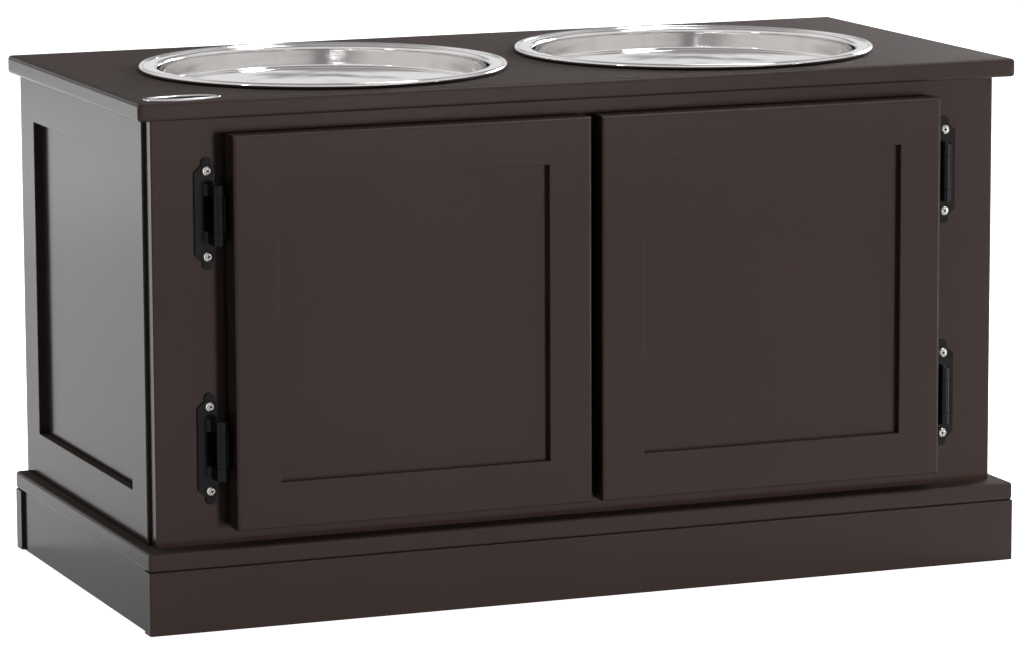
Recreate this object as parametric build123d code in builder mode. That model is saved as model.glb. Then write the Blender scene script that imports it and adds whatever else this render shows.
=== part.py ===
from build123d import *
import math
import os

# Elevated dog feeder: a cabinet with two hinged, framed doors stands on a plinth and carries two
# lift-out bowls in its top board. Millimetres. The doors face -Y and +Z is up. The origin is on
# the floor, under the middle of the whole object's footprint.

os.makedirs("parts", exist_ok=True)

# ---- driving dimensions: the cabinet ----
overall_width = 600
overall_depth = 300
board = 12                  # thickness of the boards, the skirts and the face frame
plinth_height = 40
body_height = 269

plinth_width = 598
plinth_reach = 16.5         # how far the plinth stands in front of the face frame
side_skirt_inset = 2        # the side skirts sit back from the ends of the front and back ones
top_reach = 11.5            # how far the top board stands in front of the face frame
board_edge = 2.5            # rounding of the two horizontal boards
arris = 1.0                 # rounding of other edges

body_width = 582
frame_width = 578
body_back_inset = 2
top_back_inset = 4
side_thickness = 15
side_member = 30            # width of the side frames' stiles and rails
back_thickness = 4
back_rebate = 6

# ---- driving dimensions: doors and their frame and panel joints ----
door_thickness = 18
door_standoff = 2.5         # air between a closed door's back and the face frame
door_width = 238.5
door_height = 248
door_member = 29
door_gap = 7
door_above_base = 11
door_edge = 2.0
door_overlay = 13           # how far a closed door covers the face frame around its opening
panel_recess = 5
panel_thickness = 5
groove_depth = 6
panel_play = 0.5            # room for the panel at the bottom of its grooves
eased = 0.5                 # rounding of the inner edges of stiles and rails

# ---- driving dimensions: bowls ----
bowl_spacing = 261
bowl_offset = -2.6          # the pair of bowls stands slightly left of the middle
bowl_forward = 9
bowl_sheet = 1.0
rim_radius = 119.3
bead_radius = 1.8
rim_seat = 0.3              # clearance between the bead and the top board
throat_radius = 107.2
cutout_radius = 109
ledge_radius = 103.5
ledge_depth = 12
floor_radius = 82
bowl_depth = 58.5
boss_radius = 58            # raised disc in the middle of the floor
boss_rise = 2
boss_fillet = 3
floor_fillet = 20
ledge_fillet = 2.5
throat_fillet = 1.5
rim_fillet = 2.5

# ---- driving dimensions: hinges and fasteners ----
leaf = 1.5                  # thickness of the hinge's sheet
pin_outboard = 7.5          # from the door's edge to the pin's axis
pin_forward = 12            # from the face frame to the pin's axis
knuckle_radius = 3.6
pin_radius = 1.6
pin_fit = 0.05              # radial clearance of the pin
barrel_length = 37.4
door_knuckle = 21.6
knuckle_gap = 0.3
pin_head_radius = 2.9       # the domed head is on top, and the lower end is flush
pin_head_height = 1.4
hinge_spread = 148          # between the two hinges of a door
plate_reach = 12            # from the pin's axis to the frame leaf's far edge
plate_straight = 26         # half the length of the frame leaf's straight edge
frame_screw_inset = 3.9
frame_screw_spread = 53.6
plate_edge = 2.4            # rounding of the frame leaf's far corners
plate_bend = 3.5            # radius of the bends between the frame leaf and its knuckles
lobe_radius = 4.8           # rounded ends of the frame leaf, around the screws
ear_radius = 3.2            # small ears beyond the screws
ear_reach = 5.4             # from a screw to the middle of its ear
wing_length = 21
wing_height = 54
wing_corner = 6
wing_screw_reach = 18
wing_screw_spread = 38
shank_radius = 1.75
frame_screw_bite = 10.5
wing_screw_bite = 14
pan_head_radius = 3.2
pan_head_height = 2.0
pan_head_edge = 1.2
point_taper = 1.2           # chamfer of a screw's end
flat_head_radius = 2.9
dowel_radius = 3
dowel_chamfer = 0.5
dowel_length = 28
dowel_in_board = 8
bumper_radius = 4
bumper_height = 2.2
bumper_edge = 1.3
bumper_inset = 14.5
bumper_spread = 235         # between a door's upper and lower bumper
corner_block = 28
corner_block_height = 36

# ---- driving dimensions: the blank badge ----
badge_length = 50
badge_width = 20
badge_height = 1.2
badge_end_border = 5        # from the sunk field to the badge's ends
badge_side_border = 2.5     # and to its long sides
badge_sink = 0.5
badge_x = -268
badge_y = -128.5

# ---- heights and depths that follow ----
base_top = plinth_height + board
body_middle = base_top + body_height / 2
top_underside = base_top + body_height
top_surface = top_underside + board
plinth_back = overall_depth / 2
door_front = -overall_depth / 2
door_back = door_front + door_thickness
frame_front = door_back + door_standoff
frame_back = frame_front + board
plinth_front = frame_front - plinth_reach
top_front = frame_front - top_reach
body_back = plinth_back - body_back_inset
top_back = plinth_back - top_back_inset
door_base = base_top + door_above_base
door_middle = door_base + door_height / 2
door_centre = (door_gap + door_width) / 2
door_outer = door_gap / 2 + door_width
pin_x = door_outer + pin_outboard
pin_y = frame_front - pin_forward
hinge_heights = (door_middle - hinge_spread / 2, door_middle + hinge_spread / 2)
side_names = {-1: "left", 1: "right"}
bowl_x = {side: bowl_offset + side * bowl_spacing / 2 for side in side_names}
level_names = ("lower", "upper")


def save(builder, name):
    """Label a finished piece and write it to its own file."""
    builder.part.label = name
    export_step(builder.part, f"parts/{name}.step")


# ---- fasteners first, because their seats are cut with them ----
with BuildPart() as dowels:
    side_x = (body_width - side_thickness) / 2
    rows = (
        (side_x, frame_back + side_member / 2),
        (side_x, body_back - side_member / 2),
        (side_x - side_member, frame_front + board / 2),
    )
    for x, y in rows:
        with Locations(*[(side * x, y, base_top - dowel_in_board) for side in side_names]):
            Cylinder(dowel_radius, dowel_length, align=(Align.CENTER, Align.CENTER, Align.MIN))
        with Locations(*[(side * x, y, top_underside + dowel_in_board) for side in side_names]):
            Cylinder(dowel_radius, dowel_length, align=(Align.CENTER, Align.CENTER, Align.MAX))
    chamfer(edges().filter_by(GeomType.CIRCLE), length=dowel_chamfer)
save(dowels, "cabinet_dowels")

with BuildPart() as frame_screws:
    seats = [
        Plane(
            origin=(side * (pin_x + frame_screw_inset), frame_front - leaf, height + offset),
            z_dir=(0, -1, 0),
        )
        for side in side_names
        for height in hinge_heights
        for offset in (-frame_screw_spread / 2, frame_screw_spread / 2)
    ]
    with Locations(*seats):
        Cylinder(pan_head_radius, pan_head_height, align=(Align.CENTER, Align.CENTER, Align.MIN))
        Cylinder(
            shank_radius,
            leaf + frame_screw_bite,
            align=(Align.CENTER, Align.CENTER, Align.MAX),
        )
    fillet(edges().group_by(Axis.Y)[0], radius=pan_head_edge)
    chamfer(edges().group_by(Axis.Y)[-1], length=point_taper)
save(frame_screws, "hinge_frame_screws")

wing_screws = {}
for side, side_name in side_names.items():
    with BuildPart() as screws:
        seats = [
            Plane(
                origin=(side * (pin_x - wing_screw_reach), door_back + leaf, height + offset),
                z_dir=(0, 1, 0),
            )
            for height in hinge_heights
            for offset in (-wing_screw_spread / 2, wing_screw_spread / 2)
        ]
        with Locations(*seats):
            Cylinder(
                shank_radius,
                leaf + wing_screw_bite,
                align=(Align.CENTER, Align.CENTER, Align.MAX),
            )
            Cone(
                shank_radius,
                flat_head_radius,
                leaf,
                align=(Align.CENTER, Align.CENTER, Align.MAX),
            )
        chamfer(edges().group_by(Axis.Y)[0], length=point_taper)
    wing_screws[side] = screws.part
    save(screws, f"{side_name}_door_hinge_screws")

# ---- plinth ----
with BuildPart() as base_board:
    with BuildSketch(Plane.XY.offset(plinth_height)):
        with Locations((0, (plinth_front + plinth_back) / 2)):
            Rectangle(plinth_width, plinth_back - plinth_front)
    extrude(amount=board)
    fillet(edges(), radius=board_edge)
    add(dowels.part, mode=Mode.SUBTRACT)
save(base_board, "base_board")

for name, outer_face, inward in (
    ("front_skirt", plinth_front, 1),
    ("back_skirt", plinth_back, -1),
):
    with BuildPart() as skirt:
        with BuildSketch():
            with Locations((0, outer_face + inward * board / 2)):
                Rectangle(plinth_width, board)
        extrude(amount=plinth_height)
        outer_corners = edges().filter_by(Axis.Z).group_by(Axis.Y)[0 if inward > 0 else -1]
        fillet(outer_corners, radius=arris)
    save(skirt, name)

skirt_front = plinth_front + board
skirt_back = plinth_back - board
side_skirt_outer = plinth_width / 2 - side_skirt_inset
for side, side_name in side_names.items():
    with BuildPart() as skirt:
        with BuildSketch():
            with Locations((side * (side_skirt_outer - board / 2), (skirt_front + skirt_back) / 2)):
                Rectangle(board, skirt_back - skirt_front)
        extrude(amount=plinth_height)
    save(skirt, f"{side_name}_skirt")

with BuildPart() as corner_blocks:
    with BuildSketch(Plane.XY.offset(plinth_height)):
        corner_x = side_skirt_outer - board
        for x, along_x in ((-corner_x, 1), (corner_x, -1)):
            for y, along_y in ((skirt_front, 1), (skirt_back, -1)):
                with BuildLine():
                    Polyline(
                        (x, y),
                        (x + along_x * corner_block, y),
                        (x, y + along_y * corner_block),
                        close=True,
                    )
                make_face()
    extrude(amount=-corner_block_height)
save(corner_blocks, "plinth_corner_blocks")

# ---- cabinet body ----
with BuildPart() as back_panel:
    with BuildSketch(Plane.XY.offset(base_top)):
        with Locations((0, body_back - back_thickness / 2)):
            Rectangle(body_width - 2 * (side_thickness - back_rebate), back_thickness)
    extrude(amount=body_height)
save(back_panel, "back_panel")

with BuildPart() as face_frame:
    with BuildSketch(Plane(origin=(0, frame_front, 0), x_dir=(1, 0, 0), z_dir=(0, -1, 0))):
        with Locations((0, body_middle)):
            Rectangle(frame_width, body_height)
        with Locations((0, door_middle)):
            Rectangle(
                2 * (door_outer - door_overlay),
                door_height - 2 * door_overlay,
                mode=Mode.SUBTRACT,
            )
    extrude(amount=-board)
    front_uprights = edges().filter_by(Axis.Z).group_by(Axis.Y)[0]
    fillet(front_uprights, radius=arris)
    add([dowels.part, frame_screws.part], mode=Mode.SUBTRACT)
save(face_frame, "face_frame")


def framed_panel(prefix, face, width, height, thickness, member, stiles, edge, ends, cutters):
    """Two full-height stiles, two rails tongued into them, and a panel held in their grooves.

    face is the plane of the outer face, in its middle, with its normal pointing outwards. stiles
    names the two stiles, the one at the plane's -x first. edge rounds the outer edges of the
    stiles and, where ends is true, the top and bottom ones too. The stiles' inner edges are
    eased along the opening, so that a joint shows as one smooth face. cutters are the fasteners
    and the panel whose seats are cut in the stiles.
    """
    opening_width = width - 2 * member
    opening_height = height - 2 * member
    outward = Axis(face.origin, face.z_dir)
    groove = face.offset(-panel_recess)
    opening_foot = Plane(face.origin, face.x_dir, face.y_dir).offset(-opening_height / 2)

    for side, stile_name in zip((-1, 1), stiles):
        away = Axis(face.origin, face.x_dir * side)
        with BuildPart() as stile:
            with BuildSketch(face):
                with Locations((side * (width - member) / 2, 0)):
                    Rectangle(member, height)
            extrude(amount=-thickness)
            front_edges = edges().group_by(outward)[-1].sort_by(away)
            back_edges = edges().group_by(outward)[0].sort_by(away)
            if ends:
                fillet(front_edges[1:] + back_edges[1:], radius=edge)
            else:
                fillet(front_edges[-1:], radius=edge)
            with BuildSketch(opening_foot):
                with Locations((side * (opening_width + eased) / 2, eased / 2)):
                    Rectangle(eased, eased)
                with Locations((side * (opening_width / 2 + eased), eased)):
                    Circle(eased, mode=Mode.SUBTRACT)
            extrude(amount=opening_height, mode=Mode.SUBTRACT)
            with BuildSketch(groove):
                with Locations((side * (opening_width + groove_depth) / 2, 0)):
                    Rectangle(groove_depth, height)
            extrude(amount=-panel_thickness, mode=Mode.SUBTRACT)
            add(cutters, mode=Mode.SUBTRACT)
        save(stile, f"{prefix}_{stile_name}")

    for side, rail_name in ((-1, "bottom_rail"), (1, "top_rail")):
        away = Axis(face.origin, face.y_dir * side)
        rail_middle = side * (height - member) / 2
        with BuildPart() as rail:
            with BuildSketch(face):
                with Locations((0, rail_middle)):
                    Rectangle(opening_width, member)
            extrude(amount=-thickness)
            if ends:
                outer_edges = [
                    edges().group_by(outward)[end].sort_by(away)[-1] for end in (0, -1)
                ]
                fillet(outer_edges, radius=edge)
            inner_edge = edges().group_by(outward)[-1].sort_by(away)[0]
            fillet(inner_edge, radius=eased)
            with BuildSketch(groove):
                with Locations((0, rail_middle)):
                    Rectangle(opening_width + 2 * groove_depth, member)
            extrude(amount=-panel_thickness)
            with BuildSketch(groove):
                with Locations((0, side * (opening_height + groove_depth) / 2)):
                    Rectangle(opening_width + 2 * groove_depth, groove_depth)
            extrude(amount=-panel_thickness, mode=Mode.SUBTRACT)
        save(rail, f"{prefix}_{rail_name}")

    with BuildPart() as panel:
        with BuildSketch(groove):
            tongue = 2 * (groove_depth - panel_play)
            Rectangle(opening_width + tongue, opening_height + tongue)
        extrude(amount=-panel_thickness)
    save(panel, f"{prefix}_panel")


for side, side_name in side_names.items():
    framed_panel(
        f"{side_name}_side",
        Plane(
            origin=(side * body_width / 2, (frame_back + body_back) / 2, body_middle),
            x_dir=(0, side, 0),
            z_dir=(side, 0, 0),
        ),
        width=body_back - frame_back,
        height=body_height,
        thickness=side_thickness,
        member=side_member,
        stiles=("front_stile", "back_stile")[::side],
        edge=arris,
        ends=False,
        cutters=[dowels.part, back_panel.part],
    )

# ---- doors ----
for side, side_name in side_names.items():
    framed_panel(
        f"{side_name}_door",
        Plane(
            origin=(side * door_centre, door_front, door_middle),
            x_dir=(1, 0, 0),
            z_dir=(0, -1, 0),
        ),
        width=door_width,
        height=door_height,
        thickness=door_thickness,
        member=door_member,
        stiles=("meeting_stile", "hinge_stile")[::side],
        edge=door_edge,
        ends=True,
        cutters=[wing_screws[side]],
    )
    with BuildPart() as bumpers:
        with BuildSketch(Plane(origin=(0, door_back, door_middle), z_dir=(0, 1, 0), x_dir=(1, 0, 0))):
            bumper_x = side * (door_gap / 2 + bumper_inset)
            with Locations((bumper_x, -bumper_spread / 2), (bumper_x, bumper_spread / 2)):
                Circle(bumper_radius)
        extrude(amount=bumper_height)
        fillet(edges().group_by(Axis.Y)[-1], radius=bumper_edge)
    save(bumpers, f"{side_name}_door_bumpers")


# ---- hinges ----
def hinge(prefix, side, height):
    """A partial-wrap hinge: the frame leaf's two knuckles, the door leaf's one, and the pin.

    In the section plane x runs from the pin towards the door and y towards the back.
    """
    towards_door = (-side, 0, 0)
    axis_point = (side * pin_x, pin_y, height)
    section = Plane(origin=axis_point, x_dir=towards_door, z_dir=(0, 0, -side))
    mounting = Plane(
        origin=(side * pin_x, frame_front, height), x_dir=towards_door, z_dir=(0, -1, 0)
    )
    wrap = Plane(
        origin=(side * pin_x, door_back + leaf, height), x_dir=towards_door, z_dir=(0, -1, 0)
    )
    sheet_line = knuckle_radius - leaf / 2
    bore = pin_radius + pin_fit
    outer_knuckle = (barrel_length - door_knuckle) / 2 - knuckle_gap

    with BuildPart() as frame_leaf:
        for end in (-1, 1):
            with BuildSketch(section.offset(end * (barrel_length - outer_knuckle) / 2)):
                with BuildLine():
                    FilletPolyline(
                        (-sheet_line, 0),
                        (-sheet_line, pin_forward - leaf / 2),
                        (-plate_reach + plate_edge, pin_forward - leaf / 2),
                        radius=plate_bend,
                    )
                trace(line_width=leaf)
                Circle(knuckle_radius)
                Circle(bore, mode=Mode.SUBTRACT)
            extrude(amount=outer_knuckle / 2, both=True)
        with BuildSketch(mounting):
            plate_width = plate_reach - knuckle_radius
            screw_spots = [(-frame_screw_inset, end * frame_screw_spread / 2) for end in (-1, 1)]
            ear_spots = [(x, z + math.copysign(ear_reach, z)) for x, z in screw_spots]
            with Locations((-plate_reach + plate_width / 2, 0)):
                Rectangle(plate_width, 2 * plate_straight)
            with Locations(*screw_spots):
                Circle(lobe_radius)
            make_hull()
            with Locations(*ear_spots):
                Circle(ear_radius)
            with Locations(*screw_spots):
                Circle(shank_radius, mode=Mode.SUBTRACT)
        extrude(amount=leaf)
    save(frame_leaf, f"{prefix}_frame_leaf")

    with BuildPart() as door_leaf:
        side_line = pin_outboard - leaf / 2
        back_line = door_back + leaf / 2 - pin_y
        with BuildSketch(section):
            with BuildLine():
                FilletPolyline(
                    (0, sheet_line),
                    (side_line, sheet_line),
                    (side_line, back_line),
                    (side_line + wing_length / 2, back_line),
                    radius=leaf,
                )
            trace(line_width=leaf)
            Circle(knuckle_radius)
            Circle(bore, mode=Mode.SUBTRACT)
        extrude(amount=door_knuckle / 2, both=True)
        with BuildSketch(wrap):
            with Locations((pin_outboard + leaf + wing_length / 2, 0)):
                RectangleRounded(wing_length, wing_height, wing_corner)
        extrude(amount=leaf)
        add(wing_screws[side], mode=Mode.SUBTRACT)
    save(door_leaf, f"{prefix}_door_leaf")

    with BuildPart() as pin:
        head = barrel_length / 2
        crown = head + pin_head_height
        with BuildSketch(Plane(origin=axis_point, x_dir=(1, 0, 0), z_dir=(0, -1, 0))):
            with BuildLine():
                Polyline((0, crown), (0, -head), (pin_radius, -head), (pin_radius, head))
                Line((pin_radius, head), (pin_head_radius, head))
                TangentArc((0, crown), (pin_head_radius, head), tangent=(1, 0))
            make_face()
        revolve(axis=Axis(axis_point, (0, 0, 1)))
    save(pin, f"{prefix}_pin")


for side, side_name in side_names.items():
    for level, height in zip(level_names, hinge_heights):
        hinge(f"{side_name}_{level}_hinge", side, height)

# ---- top board, its blank badge and the bowls ----
with BuildPart() as top_board:
    with BuildSketch(Plane.XY.offset(top_underside)):
        with Locations((0, (top_front + top_back) / 2)):
            Rectangle(overall_width, top_back - top_front)
    extrude(amount=board)
    fillet(edges(), radius=board_edge)
    with BuildSketch(Plane.XY.offset(top_underside)):
        with Locations(*[(x, -bowl_forward) for x in bowl_x.values()]):
            Circle(cutout_radius)
    extrude(amount=board, mode=Mode.SUBTRACT)
    add(dowels.part, mode=Mode.SUBTRACT)
save(top_board, "top_board")

with BuildPart() as badge:
    with BuildSketch(Plane.XY.offset(top_surface)):
        with Locations((badge_x, badge_y)):
            Ellipse(badge_length / 2, badge_width / 2)
    extrude(amount=badge_height)
    fillet(edges().group_by(Axis.Z)[-1], radius=badge_sink)
    with BuildSketch(Plane.XY.offset(top_surface + badge_height)):
        with Locations((badge_x, badge_y)):
            Ellipse(badge_length / 2 - badge_end_border, badge_width / 2 - badge_side_border)
    extrude(amount=-badge_sink, mode=Mode.SUBTRACT)
save(badge, "badge")

for side, side_name in side_names.items():
    with BuildPart() as bowl:
        centre = (bowl_x[side], -bowl_forward, top_surface)
        with BuildSketch(Plane(origin=centre, x_dir=(1, 0, 0), z_dir=(0, -1, 0))):
            bead_height = rim_seat + bead_radius
            flange_height = bead_height + bead_radius / 2
            floor_height = bowl_sheet / 2 - bowl_depth
            with BuildLine():
                FilletPolyline(
                    (0, floor_height + boss_rise),
                    (boss_radius - 2 * boss_rise, floor_height + boss_rise),
                    (boss_radius, floor_height),
                    (floor_radius, floor_height),
                    (ledge_radius, -ledge_depth),
                    (throat_radius, -ledge_depth + bowl_sheet),
                    (throat_radius, flange_height),
                    (rim_radius - bead_radius, flange_height),
                    radius=(
                        boss_fillet,
                        boss_fillet,
                        floor_fillet,
                        ledge_fillet,
                        throat_fillet,
                        rim_fillet,
                    ),
                )
            trace(line_width=bowl_sheet)
            with Locations((rim_radius - bead_radius, bead_height)):
                Circle(bead_radius)
        revolve(axis=Axis(centre, (0, 0, 1)))
    save(bowl, f"{side_name}_bowl")
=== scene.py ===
# %% [markdown]
# # An elevated dog feeder, dressed in Blender
# The solids of the feeder come packed from CAD: a cabinet with two framed doors, a plinth, a top
# board and two lift-out bowls. They are the fixed frame. Blender gives them their finishes, and
# makes finer pieces where a plain solid is not enough: the bowls, the screws and the badge.
# Everything is in metres. The doors face -Y, +Z is up, and the origin is on the floor.

# %% Load the frame
import math
import bmesh
import bpy
from mathutils import Matrix, Vector


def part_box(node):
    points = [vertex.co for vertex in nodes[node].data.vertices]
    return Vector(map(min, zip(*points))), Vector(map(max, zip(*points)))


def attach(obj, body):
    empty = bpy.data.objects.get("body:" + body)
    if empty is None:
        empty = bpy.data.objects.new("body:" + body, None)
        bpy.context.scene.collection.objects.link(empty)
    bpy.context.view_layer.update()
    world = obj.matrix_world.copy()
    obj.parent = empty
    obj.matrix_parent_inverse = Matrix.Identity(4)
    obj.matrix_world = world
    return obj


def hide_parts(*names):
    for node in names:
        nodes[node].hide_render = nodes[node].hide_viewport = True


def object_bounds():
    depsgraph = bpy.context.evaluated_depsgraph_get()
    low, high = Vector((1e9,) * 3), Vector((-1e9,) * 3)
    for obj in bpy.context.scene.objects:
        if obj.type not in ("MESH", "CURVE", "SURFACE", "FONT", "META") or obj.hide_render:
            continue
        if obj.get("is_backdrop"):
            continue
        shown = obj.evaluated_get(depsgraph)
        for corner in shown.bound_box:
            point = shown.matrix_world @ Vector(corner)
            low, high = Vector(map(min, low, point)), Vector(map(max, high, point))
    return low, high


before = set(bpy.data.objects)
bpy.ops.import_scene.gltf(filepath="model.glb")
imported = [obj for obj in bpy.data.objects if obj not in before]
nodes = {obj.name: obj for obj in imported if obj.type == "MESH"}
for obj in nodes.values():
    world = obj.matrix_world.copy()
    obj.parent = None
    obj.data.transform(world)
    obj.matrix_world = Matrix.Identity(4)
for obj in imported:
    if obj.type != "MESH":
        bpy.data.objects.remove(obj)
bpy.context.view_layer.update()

MM = 0.001

# %% [markdown]
# ## The camera
# A catalogue view is taken from far away with a long lens, so that upright edges stay almost
# parallel. The camera stands 3.4 m off, turned 22 degrees to the left of the doors, and looks
# 9.5 degrees down on them. The long lens makes the far end of the plinth only a little smaller.

# %% The camera
camera_data = bpy.data.cameras.new("studio_camera")
camera_data.sensor_width = 36
camera_data.lens = 180.70
camera_data.clip_start = 0.1
camera_data.clip_end = 100
camera = bpy.data.objects.new("studio_camera", camera_data)
camera.location = (-1.23716, -3.12532, 0.71570)
camera.rotation_euler = [math.radians(angle) for angle in (80.483, 0.243, -21.651)]
bpy.context.scene.collection.objects.link(camera)
bpy.context.scene.camera = camera
bpy.context.scene.view_settings.view_transform = "Standard"
print("camera distance in m:", round(camera.location.length, 3))

# %% [markdown]
# ## Small helpers for materials
# A colour is easiest to read as the sRGB hex value that a paint chart gives, but the shaders
# want linear light, so one function turns the one into the other. Another adds a node: its own
# settings by name, for each socket a value or the output that feeds it, and for a colour ramp
# its stops. The last one lets a texture's scale be written as the real size of its features.

# %% Helpers for colours and nodes
def linear(hex_colour):
    """The linear RGBA of an sRGB hex colour."""
    channels = [int(hex_colour[i:i + 2], 16) / 255 for i in (1, 3, 5)]
    return [c / 12.92 if c < 0.04045 else ((c + 0.055) / 1.055) ** 2.4 for c in channels] + [1]


def add_node(tree, kind, sockets=None, stops=(), **settings):
    """A new shader node. A socket's value is a constant, or the output that is linked to it.
    A colour ramp also takes its stops, as pairs of a position and a hex colour."""
    node = tree.nodes.new("ShaderNode" + kind)
    for name, value in settings.items():
        setattr(node, name, value)
    for name, value in (sockets or {}).items():
        if isinstance(value, bpy.types.NodeSocket):
            tree.links.new(value, node.inputs[name])
        else:
            node.inputs[name].default_value = value
    if stops:
        points = node.color_ramp.elements
        while len(points) < len(stops):
            points.new(1)
        for point, (position, colour) in zip(points, stops):
            point.position = position
            point.color = linear(colour)
    return node


def new_material(name):
    """An empty material and its node tree."""
    material = bpy.data.materials.new(name)
    material.use_nodes = True
    material.node_tree.nodes.clear()
    return material, material.node_tree


def per_size(millimetres):
    """The Scale of a texture whose features are that many millimetres across."""
    return 1 / (millimetres * MM)


print("mid grey is", round(linear("#808080")[0], 3), "in linear light")

# %% [markdown]
# ## The studio: a white tent
# A product is shot in a white tent, where light comes from everywhere, so that no shadow is
# quite black. The world gives that light, evenly and weakly. What the camera, a gloss or a glass
# sees of the world is something else, and much brighter, because a glossy thing shows its shape
# by what it mirrors. A Light Path node tells those rays from the ones that carry plain light.

# %% A world, and the rays that see it
def seen_rays(tree):
    """1 for a ray from the camera, a gloss or a glass, and 0 for the light that falls on things."""
    rays = add_node(tree, "LightPath").outputs
    camera_or_gloss = add_node(tree, "Math", {0: rays["Is Camera Ray"], 1: rays["Is Glossy Ray"]},
                               operation="MAXIMUM").outputs[0]
    return add_node(tree, "Math", {0: camera_or_gloss, 1: rays["Is Transmission Ray"]},
                    operation="MAXIMUM").outputs[0]


world = bpy.data.worlds.new("white_tent")
world.use_nodes = True
bpy.context.scene.world = world
tree = world.node_tree
tree.nodes.clear()
direction = add_node(tree, "TexCoord").outputs["Generated"]
across, depth, height = add_node(tree, "SeparateXYZ", {0: direction}).outputs
print("world:", world.name)

# %% [markdown]
# The tent's wall changes with height, which is 0 at the horizon and 1 straight up. Low down it
# has a bright band, which the level top board mirrors. Above that it is grey for a little, then
# white, and darker overhead. A noise adds soft grey patches, because polished steel only looks
# like metal when it has something darker to show beside the white. They are faint near the
# horizon, where the smooth lacquer would show them.

# %% The tent's wall and its patches
wall = add_node(tree, "ValToRGB", {0: height}, stops=(
    (0.0, "#A8A8A8"), (0.05, "#B8B8B8"), (0.09, "#EEEEEE"), (0.16, "#EEEEEE"),
    (0.22, "#C4C4C4"), (0.42, "#FFFFFF"), (0.68, "#FFFFFF"), (0.82, "#A8A8A8"),
)).outputs["Color"]
flattened = add_node(tree, "Mapping", {"Vector": direction, "Scale": (1, 1, 3.5)}).outputs[0]
patches = add_node(tree, "TexNoise", {"Vector": flattened, "Scale": 1.9, "Detail": 2}).outputs["Fac"]
patched = add_node(tree, "ValToRGB", {0: patches},
                   stops=((0.25, "#A4A4A6"), (0.37, "#FFFFFF"))).outputs["Color"]
patchiness = add_node(tree, "MapRange", {"Value": height, "From Min": 0.05, "From Max": 0.34,
                                         "To Min": 0.35}).outputs["Result"]
tent = add_node(tree, "Mix", {"Factor": patchiness, "A": wall, "B": patched}, data_type="RGBA",
                blend_type="MULTIPLY").outputs["Result"]
print("world nodes:", len(tree.nodes))

# %% [markdown]
# A grey cloth hangs high up behind the feeder on the right, so that the bowls have something
# dark to mirror there too. Its three soft borders are ramps over the parts of the direction,
# and their product is where it hangs. Then the shown world and the lighting one are joined.

# %% The grey cloth, and the world's two faces
to_the_right = add_node(tree, "MapRange", {"Value": across, "From Min": -0.1,
                                           "From Max": 0.15}).outputs["Result"]
behind = add_node(tree, "MapRange", {"Value": depth, "From Min": 0.0,
                                     "From Max": 0.6}).outputs["Result"]
high = add_node(tree, "MapRange", {"Value": height, "From Min": 0.18,
                                   "From Max": 0.30}).outputs["Result"]
behind_right = add_node(tree, "Math", {0: behind, 1: to_the_right}, operation="MULTIPLY").outputs[0]
cloth = add_node(tree, "Math", {0: behind_right, 1: high}, operation="MULTIPLY").outputs[0]
room = add_node(tree, "Mix", {"Factor": cloth, "A": tent, "B": linear("#A0A0A2")},
                data_type="RGBA").outputs["Result"]
shown = add_node(tree, "Background", {"Color": room, "Strength": 1.0}).outputs[0]
light = add_node(tree, "Background", {"Color": linear("#FFFFFF"), "Strength": 0.16}).outputs[0]
chosen = add_node(tree, "MixShader", {0: seen_rays(tree), 1: light, 2: shown}).outputs[0]
add_node(tree, "OutputWorld", {"Surface": chosen})
print("world nodes:", len(tree.nodes))

# %% [markdown]
# ## Softboxes
# Seven area lamps do what the even light can't. The key stands 6 m off in front, 18 degrees to
# the right and as low as the feeder, so its light is level: it puts a sharp shadow beside each
# door and hardly any under the top board. It is kept out of reflections, because the doors
# would mirror it as a white patch. Two strips do the opposite and are only mirrored, as a line
# of light on the right hinges and along the left edges. A long softbox overhead and one at the
# right give the bowls and the board their light, and two more light the floor behind, which is
# what the left side mirrors.

# %% The softboxes
def softbox(name, place, target, width, length, power, glossy=True, diffuse=True):
    """A rectangular area light at place that faces target. Its power is in watts."""
    data = bpy.data.lights.new(name, "AREA")
    data.shape = "RECTANGLE"
    data.size = width
    data.size_y = length
    data.energy = power
    lamp = bpy.data.objects.new(name, data)
    lamp.location = place
    lamp.rotation_mode = "QUATERNION"
    lamp.rotation_quaternion = (Vector(target) - Vector(place)).to_track_quat("-Z", "Y")
    lamp.visible_glossy = glossy
    lamp.visible_diffuse = diffuse
    bpy.context.scene.collection.objects.link(lamp)


softbox("key_softbox", place=(1.86, -5.70, 0.30), target=(0, 0, 0.25),
        width=0.84, length=0.56, power=335, glossy=False)
softbox("hinge_strip_softbox", place=(0.73, -0.69, 0.13), target=(-0.1, -0.14, 0.18),
        width=0.08, length=0.26, power=1.0, diffuse=False)
softbox("left_strip_softbox", place=(-2.6, -1.0, 0.45), target=(-0.3, -0.15, 0.2),
        width=0.2, length=0.8, power=4, diffuse=False)
softbox("top_softbox", place=(0.8, 0.1, 2.3), target=(0.3, 0, 0.3), width=1.9, length=0.4, power=23)
softbox("right_wall_softbox", place=(1.0, 0.55, 0.60), target=(0.2, 0, 0.33),
        width=0.6, length=0.3, power=9)
softbox("left_floor_softbox", place=(-1.2, 2.1, 1.7), target=(-1.1, 2.0, 0),
        width=1.4, length=1.4, power=26, glossy=False)
softbox("right_floor_softbox", place=(1.3, 2.4, 1.7), target=(1.2, 2.3, 0),
        width=1.4, length=1.4, power=20, glossy=False)

# %% [markdown]
# ## The floor
# The floor is pale matt paper. It catches the feeder's soft shadow. The rays that see it also
# get a little light of its own: the camera gets what lifts it to the white of the backdrop, and
# a gloss gets a glow that is graded from front to back, so that the left side, which mirrors
# the floor at a flat angle, goes softly from dark to light.

# %% The floor
FLOOR_REACH = 25


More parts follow.
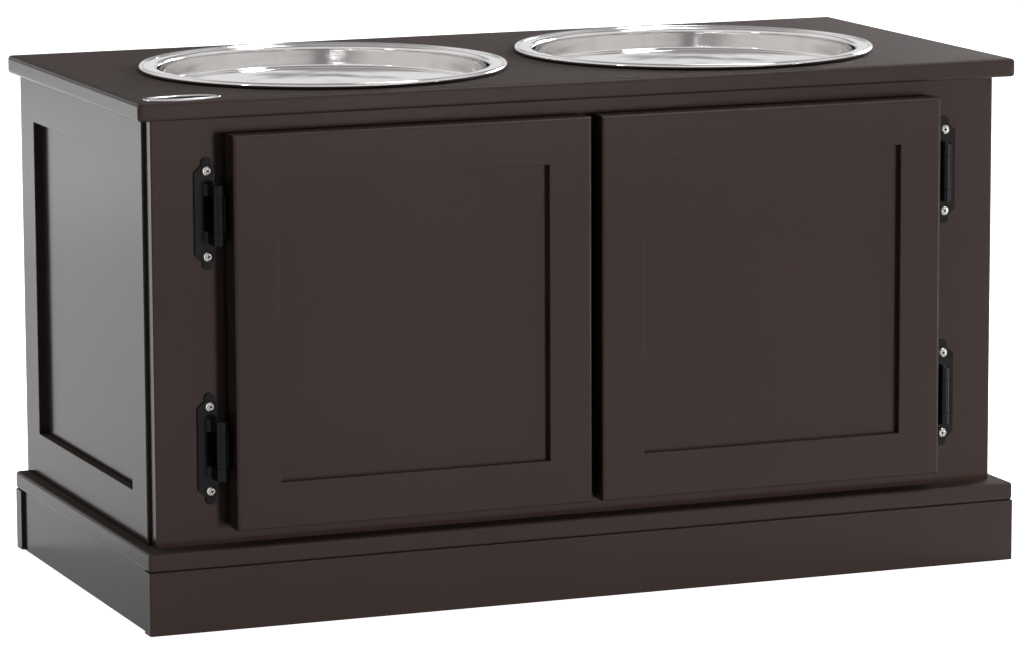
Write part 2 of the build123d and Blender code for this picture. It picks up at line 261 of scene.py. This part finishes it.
def finish_piece(name, bm, material, smooth=False):
    """Turns a bmesh into an object at the origin that wears one material."""
    mesh = bpy.data.meshes.new(name)
    bm.to_mesh(mesh)
    bm.free()
    mesh.materials.append(material)
    for face in mesh.polygons:
        face.use_smooth = smooth
    piece = bpy.data.objects.new(name, mesh)
    bpy.context.scene.collection.objects.link(piece)
    return piece


paper, tree = new_material("paper_matt_white")
plain = add_node(tree, "BsdfDiffuse", {"Color": linear("#E6E6E6")}).outputs[0]
is_camera = add_node(tree, "LightPath").outputs["Is Camera Ray"]
place = add_node(tree, "TexCoord").outputs["Object"]
floor_y = add_node(tree, "SeparateXYZ", {0: place}).outputs["Y"]
back = add_node(tree, "MapRange", {"Value": floor_y, "From Min": -1, "From Max": 4}).outputs["Result"]
mirrored = add_node(tree, "ValToRGB", {0: back}, stops=(
    (0.12, "#898989"), (0.32, "#C8C8C8"), (0.48, "#C8C8C8"),
    (0.58, "#F4F4F4"), (0.70, "#F4F4F4"), (0.90, "#A8A8A8"),
)).outputs["Color"]
glow = add_node(tree, "Mix", {"Factor": is_camera, "A": mirrored, "B": linear("#F3F3F3")},
                data_type="RGBA").outputs["Result"]
lift = add_node(tree, "Emission", {"Color": glow, "Strength": 1.0}).outputs[0]
lifted = add_node(tree, "AddShader", {0: plain, 1: lift}).outputs[0]
surface = add_node(tree, "MixShader", {0: seen_rays(tree), 1: plain, 2: lifted}).outputs[0]
add_node(tree, "OutputMaterial", {"Surface": surface})

bm = bmesh.new()
bmesh.ops.create_grid(bm, x_segments=1, y_segments=1, size=FLOOR_REACH)
floor = finish_piece("floor", bm, paper)
floor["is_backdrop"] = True
print("floor is", [round(v, 1) for v in floor.dimensions[:2]], "m")

# %% [markdown]
# ## Sprayed lacquer on fibreboard
# The boards are medium-density fibreboard, sealed and sprayed with a dark brown lacquer. A
# spray gun lays down droplets that run together, so the film is semi-gloss with a very fine
# orange peel, and its sheen changes a little from place to place. A face that lies level while
# it is sprayed also catches the dry end of the spray, and ends up matter and grainier, so the
# normal's upward part chooses between the two. The peel's real cells are about 0.8 mm and the
# dry dust is finer still; both are drawn at about 1.5 mm so that they show.

# %% The lacquer
PEEL_HEIGHT, DUST_HEIGHT = 0.002 * MM, 0.5 * MM
lacquer, tree = new_material("lacquer_sprayed_on_fibreboard")
place = add_node(tree, "TexCoord").outputs
upward = add_node(tree, "SeparateXYZ", {0: place["Normal"]}).outputs["Z"]
level = add_node(tree, "MapRange", {"Value": upward, "From Min": 0.6, "From Max": 0.95}).outputs["Result"]
passes = add_node(tree, "TexNoise", {"Vector": place["Object"], "Scale": per_size(90),
                                     "Detail": 3}).outputs["Fac"]
drift = add_node(tree, "TexNoise", {"Vector": place["Object"], "Scale": per_size(35),
                                    "Detail": 4}).outputs["Fac"]
peel = add_node(tree, "TexNoise", {"Vector": place["Object"], "Scale": per_size(1.4),
                                   "Detail": 2}).outputs["Fac"]
dust = add_node(tree, "TexNoise", {"Vector": place["Object"], "Scale": per_size(1.7),
                                   "Detail": 2}).outputs["Fac"]
tint = add_node(tree, "Mix", {"Factor": passes, "A": linear("#2B201C"), "B": linear("#2F2320")},
                data_type="RGBA").outputs["Result"]
sheen = add_node(tree, "MapRange", {"Value": drift, "To Min": 0.14, "To Max": 0.20}).outputs["Result"]
dry_sheen = add_node(tree, "MapRange", {"Value": drift, "To Min": 0.76,
                                        "To Max": 0.90}).outputs["Result"]
roughness = add_node(tree, "Mix", {"Factor": level, "A": sheen, "B": dry_sheen}).outputs["Result"]
peel_bump = add_node(tree, "Bump", {"Height": peel, "Strength": 1,
                                    "Distance": PEEL_HEIGHT}).outputs["Normal"]
dust_bump = add_node(tree, "Bump", {"Height": dust, "Strength": level, "Distance": DUST_HEIGHT,
                                    "Normal": peel_bump}).outputs["Normal"]
paint = add_node(tree, "BsdfPrincipled", {"Base Color": tint, "Roughness": roughness, "IOR": 1.45,
                                          "Specular IOR Level": 0.3, "Normal": dust_bump}).outputs[0]
add_node(tree, "OutputMaterial", {"Surface": paint})
print("finish:", lacquer.name)

# %% [markdown]
# ## Black powder-coated steel
# The hinges are rolled from steel sheet and powder-coated black. Baked powder is a hard film
# with its own finer peel, and it is a little less even in sheen than it looks.

# %% The hinges' black
black_steel, tree = new_material("steel_powder_coated_black")
place = add_node(tree, "TexCoord").outputs["Object"]
peel = add_node(tree, "TexNoise", {"Vector": place, "Scale": per_size(0.9), "Detail": 2}).outputs["Fac"]
bump = add_node(tree, "Bump", {"Height": peel, "Strength": 1, "Distance": 0.01 * MM}).outputs["Normal"]
patch = add_node(tree, "TexNoise", {"Vector": place, "Scale": per_size(6), "Detail": 2}).outputs["Fac"]
gloss = add_node(tree, "MapRange", {"Value": patch, "To Min": 0.16, "To Max": 0.24}).outputs["Result"]
tint = add_node(tree, "Mix", {"Factor": patch, "A": linear("#050506"), "B": linear("#0C0C0E")},
                data_type="RGBA").outputs["Result"]
coat = add_node(tree, "BsdfPrincipled", {"Base Color": tint, "Roughness": gloss, "IOR": 1.45,
                                         "Specular IOR Level": 0.25, "Normal": bump}).outputs[0]
add_node(tree, "OutputMaterial", {"Surface": coat})
print("finish:", black_steel.name)

# %% [markdown]
# ## Nickel-plated steel
# The screws are bright nickel over rolled steel. Nickel is a little warmer than chrome, and a
# small screw picks up fine scuffs from the driver, so its roughness is uneven. Down in the
# punched cross the plating is thin and rougher. The cross's nickel is also tinted dark as
# painted shade, for the shadow down in the recess. Both finishes are bare metal that one noise
# tints and roughens, and so is the badge's rim later on, so one function makes all three.

# %% The screws' nickel, bright and in painted shade
def scuffed_metal(name, scuff_size, detail, dark, pale, smoothest, roughest):
    """A bare metal whose tint and roughness wander together, in scuffs of that many mm."""
    material, tree = new_material(name)
    place = add_node(tree, "TexCoord").outputs["Object"]
    scuffs = add_node(tree, "TexNoise", {"Vector": place, "Scale": per_size(scuff_size),
                                         "Detail": detail}).outputs["Fac"]
    gloss = add_node(tree, "MapRange", {"Value": scuffs, "To Min": smoothest,
                                        "To Max": roughest}).outputs["Result"]
    tint = add_node(tree, "Mix", {"Factor": scuffs, "A": linear(dark), "B": linear(pale)},
                    data_type="RGBA").outputs["Result"]
    metal = add_node(tree, "BsdfPrincipled", {"Base Color": tint, "Metallic": 1,
                                              "Roughness": gloss}).outputs[0]
    add_node(tree, "OutputMaterial", {"Surface": metal})
    return material


nickel = scuffed_metal("steel_nickel_plated", scuff_size=0.8, detail=3,
                       dark="#D9D5CF", pale="#F0EEEA", smoothest=0.12, roughest=0.34)
# the cross's nickel: rougher plating, tinted dark as painted shade for the recess
nickel_in_painted_shade = scuffed_metal("steel_nickel_plated_dull", scuff_size=0.5, detail=2,
                            dark="#4C4A48", pale="#6A6764", smoothest=0.5, roughest=0.7)
print("finishes:", nickel.name, nickel_in_painted_shade.name)

# %% [markdown]
# ## Raw wood and moulded rubber
# The dowels and the glue blocks in the plinth's corners are plain wood, seen only from below
# and at the ends of the holes. The bumpers are small moulded rubber domes, nearly black.

# %% The hidden wood
raw_wood, tree = new_material("beech_turned_and_sawn")
place = add_node(tree, "TexCoord").outputs["Object"]
stretched = add_node(tree, "Mapping", {"Vector": place, "Scale": (1, 1, 0.12)}).outputs[0]
grain = add_node(tree, "TexNoise", {"Vector": stretched, "Scale": per_size(1.5),
                                    "Detail": 5}).outputs["Fac"]
tint = add_node(tree, "Mix", {"Factor": grain, "A": linear("#A87F55"), "B": linear("#D8B68A")},
                data_type="RGBA").outputs["Result"]
bump = add_node(tree, "Bump", {"Height": grain, "Strength": 1, "Distance": 0.05 * MM}).outputs["Normal"]
wood = add_node(tree, "BsdfPrincipled", {"Base Color": tint, "Roughness": 0.7, "Normal": bump}).outputs[0]
add_node(tree, "OutputMaterial", {"Surface": wood})
print("finish:", raw_wood.name)

# %% The bumpers' rubber
rubber, tree = new_material("rubber_moulded")
place = add_node(tree, "TexCoord").outputs["Object"]
skin = add_node(tree, "TexNoise", {"Vector": place, "Scale": per_size(0.5), "Detail": 2}).outputs["Fac"]
bump = add_node(tree, "Bump", {"Height": skin, "Strength": 1, "Distance": 0.02 * MM}).outputs["Normal"]
tint = add_node(tree, "Mix", {"Factor": skin, "A": linear("#19191A"), "B": linear("#242425")},
                data_type="RGBA").outputs["Result"]
moulded = add_node(tree, "BsdfPrincipled", {"Base Color": tint, "Roughness": 0.6,
                                            "Normal": bump}).outputs[0]
add_node(tree, "OutputMaterial", {"Surface": moulded})
print("finish:", rubber.name)

# %% [markdown]
# ## Dressing the solids
# A CAD node whose shape is right keeps its mesh and only changes its material. The record's
# slots already sort the nodes, so the finish follows the slot.

# %% Dress the CAD nodes
finish_of_slot = {
    "painted_board": lacquer,
    "bare_wood": raw_wood,
    "hinge_black": black_steel,
    "screw_nickel": nickel,
    "bumper_rubber": rubber,
}
dressed = 0
for node in nodes.values():
    slot = node.material_slots[0].material.name.split(".")[0]
    finish = finish_of_slot.get(slot)
    if finish:
        for material_slot in node.material_slots:
            material_slot.material = finish
        dressed += 1
print("dressed", dressed, "of", len(nodes), "nodes")

# %% [markdown]
# ## Stainless steel, drawn and polished
# A bowl is drawn from stainless sheet and polished on a lathe. The mirror is never perfect: the
# wheel leaves fine lines round the axis, and the drawn sheet is slightly wavy, which breaks a
# reflection into streaks that run round the bowl too. Both come from a noise in coordinates
# that are bent round the axis, so that it is stretched along the turning. The real lines are
# 0.05 mm apart, and are drawn 0.6 mm apart here so that they show. The waves fade out towards
# the rim, where the press has stretched the sheet flat.

# %% Coordinates round an axis
def about_axis(tree, axis_x, axis_y):
    """The place seen from an upright axis: outward direction, distance and height."""
    place = add_node(tree, "TexCoord").outputs["Object"]
    centred = add_node(tree, "Mapping", {"Vector": place, "Location": (-axis_x, -axis_y, 0)}).outputs[0]
    parts = add_node(tree, "SeparateXYZ", {0: centred}).outputs
    flat = add_node(tree, "CombineXYZ", {"X": parts["X"], "Y": parts["Y"]}).outputs[0]
    radius = add_node(tree, "VectorMath", {0: flat}, operation="LENGTH").outputs["Value"]
    outward = add_node(tree, "VectorMath", {0: flat}, operation="NORMALIZE").outputs[0]
    return outward, radius, parts["Z"]


def bent_round(tree, outward, radius, height, stretch):
    """Coordinates round an axis, in which a noise is that many times longer along the turning
    than across it. Along it, they are measured on a circle of 100 mm radius."""
    along = add_node(tree, "VectorMath", {0: outward, "Scale": 100 * MM}, operation="SCALE").outputs[0]
    across = add_node(tree, "Math", {0: radius, 1: height}, operation="ADD").outputs[0]
    stretched = add_node(tree, "Math", {0: across, 1: stretch}, operation="MULTIPLY").outputs[0]
    lifted = add_node(tree, "CombineXYZ", {"Z": stretched}).outputs[0]
    return add_node(tree, "VectorMath", {0: along, 1: lifted}, operation="ADD").outputs[0]


WAVE_LENGTH, WAVE_STRETCH, WAVE_HEIGHT = 70, 5, 1.8 * MM
MARK_LENGTH, MARK_STRETCH, MARK_HEIGHT = 18, 30, 0.006 * MM
print("mm between waves:", WAVE_LENGTH / WAVE_STRETCH, "between marks:", MARK_LENGTH / MARK_STRETCH)

# %% The bowls' polished steel
RIM_STARTS, RIM_ENDS = 100 * MM, 107 * MM


def polished_steel(name, axis_x, axis_y):
    """Mirror-polished steel whose wheel marks run round an upright axis."""
    material, tree = new_material(name)
    outward, radius, height = about_axis(tree, axis_x, axis_y)
    wavy = bent_round(tree, outward, radius, height, WAVE_STRETCH)
    marked = bent_round(tree, outward, radius, height, MARK_STRETCH)
    waviness = add_node(tree, "MapRange", {"Value": radius, "From Min": RIM_STARTS, "From Max": RIM_ENDS,
                                           "To Min": 1, "To Max": 0.1}).outputs["Result"]
    waves = add_node(tree, "TexNoise", {"Vector": wavy, "Scale": per_size(WAVE_LENGTH),
                                        "Detail": 2}).outputs["Fac"]
    marks = add_node(tree, "TexNoise", {"Vector": marked, "Scale": per_size(MARK_LENGTH),
                                        "Detail": 2}).outputs["Fac"]
    wave_bump = add_node(tree, "Bump", {"Height": waves, "Strength": waviness,
                                        "Distance": WAVE_HEIGHT}).outputs["Normal"]
    mark_bump = add_node(tree, "Bump", {"Height": marks, "Strength": 1, "Distance": MARK_HEIGHT,
                                        "Normal": wave_bump}).outputs["Normal"]
    tint = add_node(tree, "Mix", {"Factor": marks, "A": linear("#D8D6D5"), "B": linear("#E4E2E1")},
                    data_type="RGBA").outputs["Result"]
    gloss = add_node(tree, "MapRange", {"Value": waves, "To Min": 0.05, "To Max": 0.14}).outputs["Result"]
    steel = add_node(tree, "BsdfPrincipled", {"Base Color": tint, "Metallic": 1, "Roughness": gloss,
                                              "Normal": mark_bump}).outputs[0]
    add_node(tree, "OutputMaterial", {"Surface": steel})
    print("finish:", material.name)
    return material


# %% [markdown]
# ## The bowls
# The bowl is a thin shell of revolution, so it is turned: a line is drawn along the inside of
# the sheet, its corners are rounded, and it is spun round the axis. Solidify then gives the
# sheet its millimetre, outwards and downwards, and the rolled rim is a ring spun from a small
# circle.

# %% The line along the bowl's sheet
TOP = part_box("top_board")[1].z
BOWL_SPACING, BOWL_OFFSET, BOWL_Y = 261 * MM, -2.6 * MM, -9 * MM
SHEET = 1.0 * MM
# each corner: its radius from the axis, its height above the board, and how round it is, in mm
bowl_corners = (
    (0, -56, 0), (54, -56, 3), (58, -58, 3), (82, -58, 20), (103.5, -12, 2.5),
    (107.2, -11, 1.5), (107.2, 3, 2.5), (117.5, 3, 0),
)


def draw_line(corners):
    """A line of straight edges through the corners, in the XZ plane, and its vertices."""
    bm = bmesh.new()
    verts = [bm.verts.new((x * MM, 0, z * MM)) for x, z, _ in corners]
    for a, b in zip(verts, verts[1:]):
        bm.edges.new((a, b))
    return bm, verts


def round_corner(bm, vert, reach, steps):
    """Rounds one corner of a line, from that far before it to that far behind it."""
    bmesh.ops.bevel(bm, geom=[vert], offset=reach, offset_type="OFFSET", affect="VERTICES",
                    segments=steps, profile=0.5, material=-1)


def bowl_line():
    """The inside of the sheet from the axis to the rim, each corner rounded to its radius."""
    bm, corners = draw_line(bowl_corners)
    for i, corner in enumerate(corners[1:-1], start=1):
        before, here, after = (Vector(bowl_corners[k][:2]) for k in (i - 1, i, i + 1))
        turn = (here - before).angle(after - here)
        round_corner(bm, corner, bowl_corners[i][2] * MM * math.tan(turn / 2), steps=8)
    return bm


line = bowl_line()
print("points along the sheet:", len(line.verts), "edges:", len(line.edges))
line.free()

# %% Spin the bowls
BEAD_RADIUS, BEAD_HEIGHT, RIM_RADIUS = 1.8 * MM, 2.1 * MM, 119.3 * MM
BOWL_STEPS, BEAD_STEPS = 180, 20
LONG_EDGE, MERGE_DISTANCE = 4 * MM, 0.001 * MM


def spin_round(bm, geom, steps):
    """Spins a line a full turn round the Z axis, and merges what meets."""
    bmesh.ops.spin(bm, geom=geom, cent=(0, 0, 0), axis=(0, 0, 1), angle=2 * math.pi, steps=steps,
                   use_merge=True)
    bmesh.ops.remove_doubles(bm, verts=bm.verts, dist=MERGE_DISTANCE)
    bmesh.ops.recalc_face_normals(bm, faces=bm.faces)


def add_bead(bm):
    """The rolled rim: a small upright circle, spun into a ring."""
    upright = Matrix.Rotation(math.pi / 2, 4, "X")
    place = Matrix.Translation((RIM_RADIUS - BEAD_RADIUS, 0, BEAD_HEIGHT))
    circle = bmesh.ops.create_circle(bm, segments=BEAD_STEPS, radius=BEAD_RADIUS, matrix=place @ upright)
    in_order = dict.fromkeys(edge for vert in circle["verts"] for edge in vert.link_edges)
    spin_round(bm, list(in_order), BOWL_STEPS)


def spin_bowl(name, axis_x):
    """A bowl from its line: spun, given its thickness, and finished with its rolled rim."""
    bm = bowl_line()
    long_edges = [edge for edge in bm.edges if edge.calc_length() > LONG_EDGE]
    bmesh.ops.subdivide_edges(bm, edges=long_edges, cuts=5)
    spin_round(bm, bm.edges[:] + bm.verts[:], BOWL_STEPS)
    bmesh.ops.solidify(bm, geom=bm.faces[:], thickness=SHEET)
    add_bead(bm)
    bmesh.ops.translate(bm, verts=bm.verts, vec=(axis_x, BOWL_Y, TOP))
    return finish_piece(name, bm, polished_steel(f"{name}_steel", axis_x, BOWL_Y), smooth=True)


for side, sign in (("left", -1), ("right", 1)):
    bowl = spin_bowl(f"{side}_bowl_polished", BOWL_OFFSET + sign * BOWL_SPACING / 2)
    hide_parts(f"{side}_bowl")
    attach(bowl, f"{side}_bowl")
    print(bowl.name, "faces:", len(bowl.data.polygons), "wide in mm:", round(bowl.dimensions.x / MM, 1))

# %% [markdown]
# ## Screws with a cross recess
# A pan-head screw is a turned button with a punched cross, and the screws through the hinge's
# other leaf have flat heads. Each is turned from its outline, and the pan's rim is rounded. The
# cross is cut by two crossed tapered blades, because the punch leaves a sharp-edged hole that
# no bevel of the head would give. The faces down in the cut take the rougher nickel, whose dark
# tint is painted shade for the recess. One screw of each kind is made once, pointing along -Z,
# and then copied to every hole.

# %% The cross, and how it is cut
BLADE_TAPER = (0.45, 0.45, 0.5)


def cross_blades(bm, span, width, rise):
    """Two crossed blades that taper downwards, from that rise above z = 0 to half of it below.
    Their span and width are those of the upper end."""
    for turn in (0, math.pi / 2):
        size = Matrix.Diagonal((span, width, rise * 2, 1))
        made = bmesh.ops.create_cube(bm, size=1, matrix=Matrix.Rotation(turn, 4, "Z") @ size)
        low = [vert for vert in made["verts"] if vert.co.z < 0]
        bmesh.ops.scale(bm, verts=low, vec=BLADE_TAPER)


def cut(name, body_bm, cutter_bm):
    """The mesh of a body with a cutter taken away from it."""
    helpers = []
    for part, bm in (("body", body_bm), ("cutter", cutter_bm)):
        mesh = bpy.data.meshes.new(f"{name}_{part}")
        bm.to_mesh(mesh)
        bm.free()
        helper = bpy.data.objects.new(f"{name}_{part}", mesh)
        bpy.context.scene.collection.objects.link(helper)
        helpers.append(helper)
    body, cutter = helpers
    boolean = body.modifiers.new("recess", "BOOLEAN")
    boolean.operation = "DIFFERENCE"
    boolean.object = cutter
    boolean.solver = "EXACT"
    boolean.use_self = True
    bpy.context.view_layer.update()
    result = bpy.data.meshes.new_from_object(body.evaluated_get(bpy.context.evaluated_depsgraph_get()))
    for helper in helpers:
        bpy.data.objects.remove(helper)
    return result


pan_cross = {"span": 4.4 * MM, "width": 1.35 * MM, "rise": 2.2 * MM}
flat_cross = {"span": 3.2 * MM, "width": 0.9 * MM, "rise": 1.0 * MM}
blades = bmesh.new()
cross_blades(blades, **pan_cross)
print("faces of two crossed blades:", len(blades.faces))
blades.free()

# %% One pan screw and one flat screw
# each corner: its radius from the axis, its height from the head's top, and how round it is, in mm
pan_corners = (
    (0, 0, 0), (3.2, 0, 1.3), (3.2, -2.0, 0),
    (1.75, -2.0, 0), (1.75, -13, 0), (0.7, -14, 0), (0, -14, 0),
)
flat_corners = (
    (0, 0, 0), (2.9, 0, 0.15),
    (1.75, -1.5, 0), (1.75, -14.5, 0), (0.7, -15.5, 0), (0, -15.5, 0),
)


SCREW_STEPS = 36
SKIN = 0.02 * MM


def turned_screw(name, corners, span, width, rise):
    """A screw turned from its corners, with a cross cut by blades of that span, width and rise.
    The faces inside the cross take the second material."""
    bm, verts = draw_line(corners)
    for vert, (_, _, roundness) in zip(verts, corners):
        if roundness:
            round_corner(bm, vert, roundness * MM, steps=5)
    spin_round(bm, bm.edges[:] + bm.verts[:], SCREW_STEPS)
    blades = bmesh.new()
    cross_blades(blades, span, width, rise)
    screw = cut(name, bm, blades)
    deepest, widest = -0.55 * rise, 0.49 * span
    for face in screw.polygons:
        in_cross = deepest < face.center.z < -SKIN and face.center.xy.length < widest
        face.material_index = int(in_cross)
    return screw


pan_screw = turned_screw("pan_screw", pan_corners, **pan_cross)
flat_screw = turned_screw("flat_screw", flat_corners, **flat_cross)
print("faces of a pan screw and a flat screw:", len(pan_screw.polygons), len(flat_screw.polygons))

# %% [markdown]
# ## Every screw in its hole
# Each hinge has two pan screws in the cabinet's face frame, above and below its barrel, and two
# flat screws in the back of the door. The driver stops where a screw is tight, so no two
# crosses stand at the same angle. The angles come from a fixed rule, so they are the same each
# time.

# %% Place the screws
HINGE_HEIGHTS = (113 * MM, 261 * MM)
FRAME_SCREW_X, FRAME_SCREW_REACH = 253.4 * MM, 26.8 * MM
DOOR_SCREW_X, DOOR_SCREW_REACH = 231.5 * MM, 19 * MM
FIRST_TURN, NEXT_TURN = math.radians(23), math.radians(37)
SHARP_SCREW_EDGE = math.radians(35)


def screw_spots(x, y, reach):
    """The two places at each hinge, that far above and below its middle."""
    return [(x, y, height + offset) for height in HINGE_HEIGHTS for offset in (-reach, reach)]


def place_screws(name, screw, spots, outward, body, replaced):
    """Copies of one screw at the spots, their heads facing outward."""
    bm = bmesh.new()
    facing = Vector(outward).to_track_quat("Z", "Y").to_matrix().to_4x4()
    for i, spot in enumerate(spots):
        driven = Matrix.Rotation(FIRST_TURN + NEXT_TURN * i, 4, "Z")
        placed = screw.copy()
        placed.transform(Matrix.Translation(spot) @ facing @ driven)
        bm.from_mesh(placed)
        bpy.data.meshes.remove(placed)
    piece = finish_piece(name, bm, nickel)
    # the second material is the cross's nickel, tinted dark as painted shade
    piece.data.materials.append(nickel_in_painted_shade)
    piece.data.shade_smooth()
    piece.data.set_sharp_from_angle(angle=SHARP_SCREW_EDGE)
    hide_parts(replaced)
    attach(piece, body)
    print(piece.name, "screws:", len(spots))


heads_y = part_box("hinge_frame_screws")[0].y
spots = [spot for side in (-1, 1) for spot in screw_spots(side * FRAME_SCREW_X, heads_y, FRAME_SCREW_REACH)]
place_screws("hinge_frame_screws_cross", pan_screw, spots, (0, -1, 0), "cabinet", "hinge_frame_screws")

for side, sign in (("left", -1), ("right", 1)):
    replaced = f"{side}_door_hinge_screws"
    spots = screw_spots(sign * DOOR_SCREW_X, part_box(replaced)[1].y, DOOR_SCREW_REACH)
    place_screws(f"{replaced}_cross", flat_screw, spots, (0, 1, 0), f"{side}_door", replaced)

# %% [markdown]
# ## The badge
# A small oval plate is glued to the front corner of the top board. Its raised rim is bright
# die-cast metal, and its sunk field is filled with matt black paint, which hardly shines even
# at a flat angle. The plate is blank. It is an oval disc whose top face is inset twice, once
# for the rim and once for the step down into the field.

# %% The badge's finishes
rim_metal = scuffed_metal("zinc_die_cast_bright", scuff_size=3, detail=3,
                          dark="#CFCFCF", pale="#E6E6E6", smoothest=0.18, roughest=0.32)

matt_black, tree = new_material("paint_filled_matt_black")
place = add_node(tree, "TexCoord").outputs["Object"]
flow = add_node(tree, "TexNoise", {"Vector": place, "Scale": per_size(4), "Detail": 2}).outputs["Fac"]
gloss = add_node(tree, "MapRange", {"Value": flow, "To Min": 0.85, "To Max": 1.0}).outputs["Result"]
tint = add_node(tree, "Mix", {"Factor": flow, "A": linear("#141213"), "B": linear("#1C191A")},
                data_type="RGBA").outputs["Result"]
filling = add_node(tree, "BsdfPrincipled", {"Base Color": tint, "Roughness": gloss,
                                            "Specular IOR Level": 0.01}).outputs[0]
add_node(tree, "OutputMaterial", {"Surface": filling})
print("finishes:", rim_metal.name, matt_black.name)

# %% Shape the badge
RIM_WIDTH, RIM_ROUNDING = 3.2 * MM, 0.55 * MM
STEP_WIDTH, FIELD_DEPTH = 0.4 * MM, 0.6 * MM
OVAL_STEPS = 96
badge_low, badge_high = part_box("badge")
length, width, rise = badge_high - badge_low
bm = bmesh.new()
bmesh.ops.create_circle(bm, cap_ends=True, segments=OVAL_STEPS, radius=0.5)
bmesh.ops.scale(bm, verts=bm.verts, vec=(length, width, 1))
extruded = bmesh.ops.extrude_face_region(bm, geom=bm.faces[:])
top_verts = [item for item in extruded["geom"] if isinstance(item, bmesh.types.BMVert)]
bmesh.ops.translate(bm, verts=top_verts, vec=(0, 0, rise))
bmesh.ops.recalc_face_normals(bm, faces=bm.faces)
top_face = max(bm.faces, key=lambda face: face.calc_center_median().z)
bmesh.ops.inset_region(bm, faces=[top_face], thickness=RIM_WIDTH, depth=0)
bmesh.ops.inset_region(bm, faces=[top_face], thickness=STEP_WIDTH, depth=-FIELD_DEPTH)
bmesh.ops.recalc_face_normals(bm, faces=bm.faces)
rim_edges = [edge for edge in bm.edges if min(v.co.z for v in edge.verts) > rise * 0.9]
bmesh.ops.bevel(bm, geom=rim_edges, offset=RIM_ROUNDING, offset_type="OFFSET", affect="EDGES",
                segments=4, profile=0.5, material=-1)
middle = (badge_low + badge_high) / 2
bmesh.ops.translate(bm, verts=bm.verts, vec=(middle.x, middle.y, badge_low.z))
print("faces of the badge:", len(bm.faces))

# %% Paint its field and mount it
SHARP_BADGE_EDGE = math.radians(40)
badge = finish_piece("badge_blank", bm, rim_metal, smooth=True)
badge.data.materials.append(matt_black)
field = max((face for face in badge.data.polygons if face.normal.z > 0.9), key=lambda face: face.area)
field.material_index = 1
badge.data.set_sharp_from_angle(angle=SHARP_BADGE_EDGE)
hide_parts("badge")
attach(badge, "cabinet")
print("badge in mm:", [round(v / MM, 1) for v in badge.dimensions])

# %% [markdown]
# ## The size of the dressed object
# The dressed object has to stay as large as the solids are. Its box is measured here.

# %% Finish
low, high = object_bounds()
